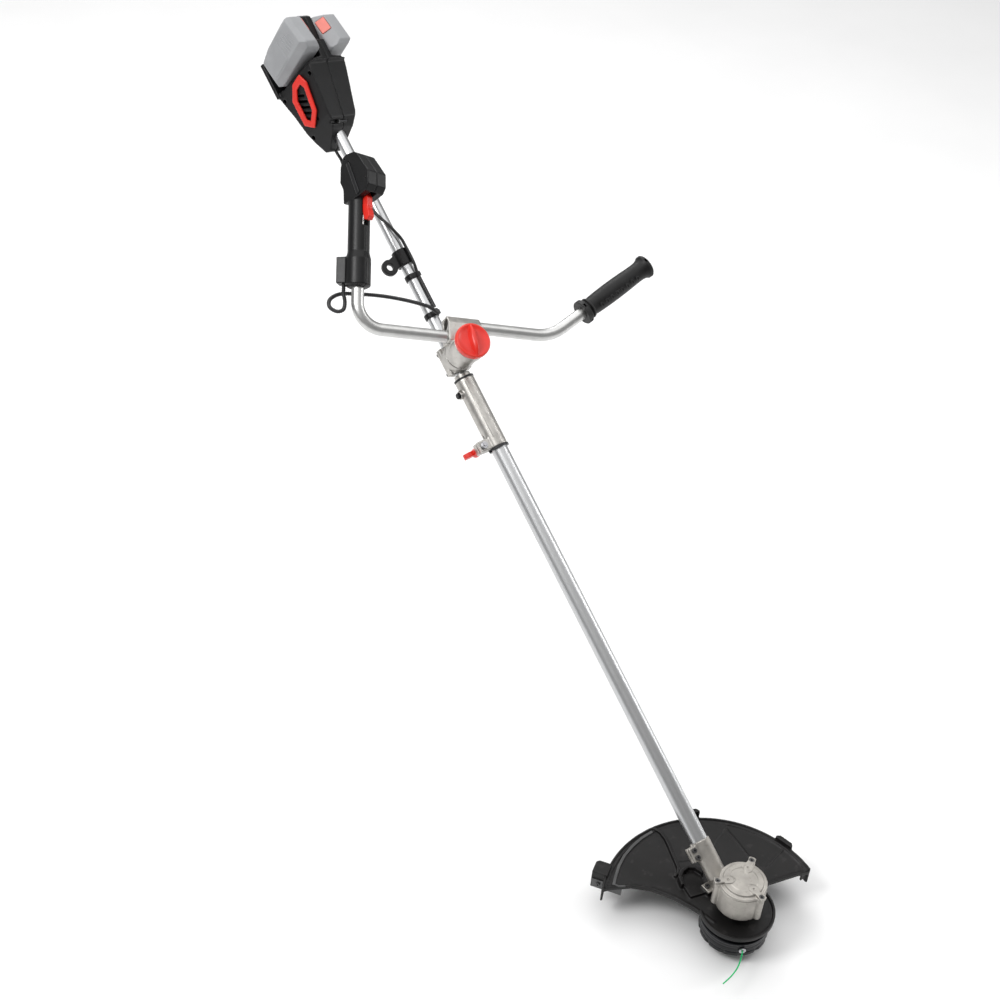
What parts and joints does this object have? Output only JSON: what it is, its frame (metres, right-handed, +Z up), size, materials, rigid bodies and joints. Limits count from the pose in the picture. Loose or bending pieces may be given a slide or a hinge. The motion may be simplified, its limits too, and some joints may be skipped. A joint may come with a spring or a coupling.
{
  "type": "string trimmer",
  "caption": "Battery string trimmer: twin-pack rear motor, split shaft, swivelling handlebar with trigger grip, bevel gear head, guard and bump-feed line spool.",
  "frame": {"origin": "centre of the bump knob's bottom face, on the cutting head's spin axis", "axes": "+Z up the spin axis, +X to the operator's left, +Y toward the operator; the shaft rises 35 degrees from horizontal toward +Y"},
  "size_m": [0.6007, 1.5263, 1.1243],
  "materials": {
    "tube_metal": "drawn, satin",
    "cast_alloy": "bead-blasted casting",
    "bracket_alloy": "cast alloy",
    "steel": "machined",
    "bearing_steel": "ground",
    "spring_steel": "drawn wire",
    "dark_screws": "black oxide",
    "copper": "enamelled windings",
    "housing_plastic": "fine texture",
    "guard_plastic": "grained",
    "head_plastic": "satin",
    "bush_plastic": "natural",
    "red_plastic": "satin",
    "pack_plastic": "fine texture",
    "latch_plastic": "satin",
    "grip_rubber": "soft, grooved",
    "cable_rubber": "smooth",
    "board": "coated circuit board",
    "line_nylon": "extruded nylon"
  },
  "bodies": {
    "upper_frame": {"upper_tube": "tube_metal", "coupler_sleeve": "cast_alloy", "coupler_rings": "housing_plastic", "upper_shaft_bushes": "bush_plastic", "release_spring": "spring_steel", "bracket_base": "bracket_alloy", "bracket_lower": "bracket_alloy", "frame_screws": "dark_screws", "clamp_bolt": "steel", "housing_left": "housing_plastic", "housing_right": "housing_plastic", "vent_frames": "red_plastic", "motor_stator": "copper", "motor_bearings": "bearing_steel", "controller": "board", "harness_eye": "housing_plastic", "control_cable": "cable_rubber", "cable_conduit": "cable_rubber"},
    "lower_shaft": {"lower_tube": "tube_metal", "lower_shaft_bushes": "bush_plastic", "gear_case": "cast_alloy", "gear_cover": "cast_alloy", "gear_case_screws": "dark_screws", "gear_bearings": "bearing_steel", "guard": "guard_plastic", "line_cutter": "steel"},
    "head": {"crown_gear": "steel", "output_shaft": "steel", "head_housing": "head_plastic", "head_cap": "head_plastic", "line_eyelets": "steel", "spool": "head_plastic", "wound_line": "line_nylon", "head_spring": "spring_steel"},
    "lower_drive": {"lower_drive_shaft": "steel", "pinion": "steel"},
    "upper_drive": {"motor_rotor": "steel", "upper_drive_shaft": "steel", "drive_coupling": "steel"},
    "knob": {"bump_knob": "head_plastic"},
    "release": {"release_button": "housing_plastic"},
    "snap": {"snap_pin": "steel"},
    "wing": {"wing_screw": "red_plastic"},
    "handlebar": {"swivel_jaw": "bracket_alloy", "clamp_cap": "cast_alloy", "control_bar": "tube_metal", "plain_bar": "tube_metal", "plain_grip": "grip_rubber", "handle_front": "housing_plastic", "handle_back": "housing_plastic", "handle_screws": "dark_screws", "handle_pins": "steel", "trigger_switch": "housing_plastic"},
    "bar_knob": {"clamp_knob": "red_plastic"},
    "trigger": {"trigger": "red_plastic"},
    "lock": {"lock_lever": "housing_plastic"},
    "pack_left": {"battery_left": "pack_plastic"},
    "pack_right": {"battery_right": "pack_plastic"},
    "catch_left": {"latch_left": "latch_plastic"},
    "catch_right": {"latch_right": "latch_plastic"}
  },
  "joints": [
    {"name": "shaft_release", "type": "slide", "parent": "upper_frame", "child": "lower_shaft", "axis": [0, -0.8192, -0.5736], "range_m": [0, 0.13]},
    {"name": "head_spin", "type": "hinge", "parent": "lower_shaft", "child": "head", "pos_m": [0, 0, 0.05], "axis": [0, 0, 1], "continuous": true},
    {"name": "lower_drive_spin", "type": "hinge", "parent": "lower_shaft", "child": "lower_drive", "pos_m": [0, 0, 0.06], "axis": [0, 0.8192, 0.5736], "continuous": true},
    {"name": "upper_drive_spin", "type": "hinge", "parent": "upper_frame", "child": "upper_drive", "pos_m": [0, 0, 0.06], "axis": [0, 0.8192, 0.5736], "continuous": true},
    {"name": "bump_feed", "type": "slide", "parent": "head", "child": "knob", "axis": [0, 0, 1], "range_m": [0, 0.006], "stiffness_N_per_m": 2000, "springref_m": -0.004, "deforming": ["head_spring"]},
    {"name": "release_press", "type": "slide", "parent": "upper_frame", "child": "release", "axis": [1, 0, 0], "range_m": [0, 0.0014], "stiffness_N_per_m": 3000, "springref_m": -0.001},
    {"name": "snap_retract", "type": "slide", "parent": "lower_shaft", "child": "snap", "axis": [1, 0, 0], "range_m": [0, 0.0014]},
    {"name": "wing_turn", "type": "hinge", "parent": "upper_frame", "child": "wing", "pos_m": [-0.03, 0.74133, 0.57909], "axis": [0, -0.5736, 0.8192], "range_deg": [-90, 270]},
    {"name": "handlebar_swivel", "type": "hinge", "parent": "upper_frame", "child": "handlebar", "pos_m": [0, 0.87485, 0.67258], "axis": [0, -0.5736, 0.8192], "range_deg": [-20, 30], "deforming": ["cable_conduit"]},
    {"name": "clamp_turn", "type": "hinge", "parent": "handlebar", "child": "bar_knob", "pos_m": [0, 0.82897, 0.73811], "axis": [0, -0.5736, 0.8192], "range_deg": [-180, 180]},
    {"name": "trigger_pull", "type": "hinge", "parent": "handlebar", "child": "trigger", "pos_m": [-0.07638, 1.0499, 0.93952], "axis": [0.8792, -0.0843, -0.4689], "range_deg": [0, 7], "stiffness_Nm_per_rad": 0.6, "springref_deg": -5.73},
    {"name": "lock_press", "type": "hinge", "parent": "handlebar", "child": "lock", "pos_m": [-0.0733, 1.0997, 0.93634], "axis": [0.8792, -0.0843, -0.4689], "range_deg": [0, 7], "stiffness_Nm_per_rad": 0.4, "springref_deg": -5.73},
    {"name": "pack_left_slide", "type": "slide", "parent": "upper_frame", "child": "pack_left", "axis": [0.2715, -0.4007, 0.8751], "range_m": [0, 0.11]},
    {"name": "pack_right_slide", "type": "slide", "parent": "upper_frame", "child": "pack_right", "axis": [0.2715, -0.4007, 0.8751], "range_m": [0, 0.11]},
    {"name": "catch_left_press", "type": "slide", "parent": "pack_left", "child": "catch_left", "axis": [0.5648, 0.378, -0.7336], "range_m": [0, 0.0025], "stiffness_N_per_m": 1200, "springref_m": -0.001},
    {"name": "catch_right_press", "type": "slide", "parent": "pack_right", "child": "catch_right", "axis": [-0.9123, 0.1351, -0.3867], "range_m": [0, 0.0025], "stiffness_N_per_m": 1200, "springref_m": -0.001}
  ],
  "couplings": [
    {"joint": "lower_drive_spin", "follows": "head_spin", "ratio": -2.5},
    {"joint": "upper_drive_spin", "follows": "head_spin", "ratio": -2.5},
    {"joint": "snap_retract", "follows": "release_press", "ratio": 1}
  ]
}
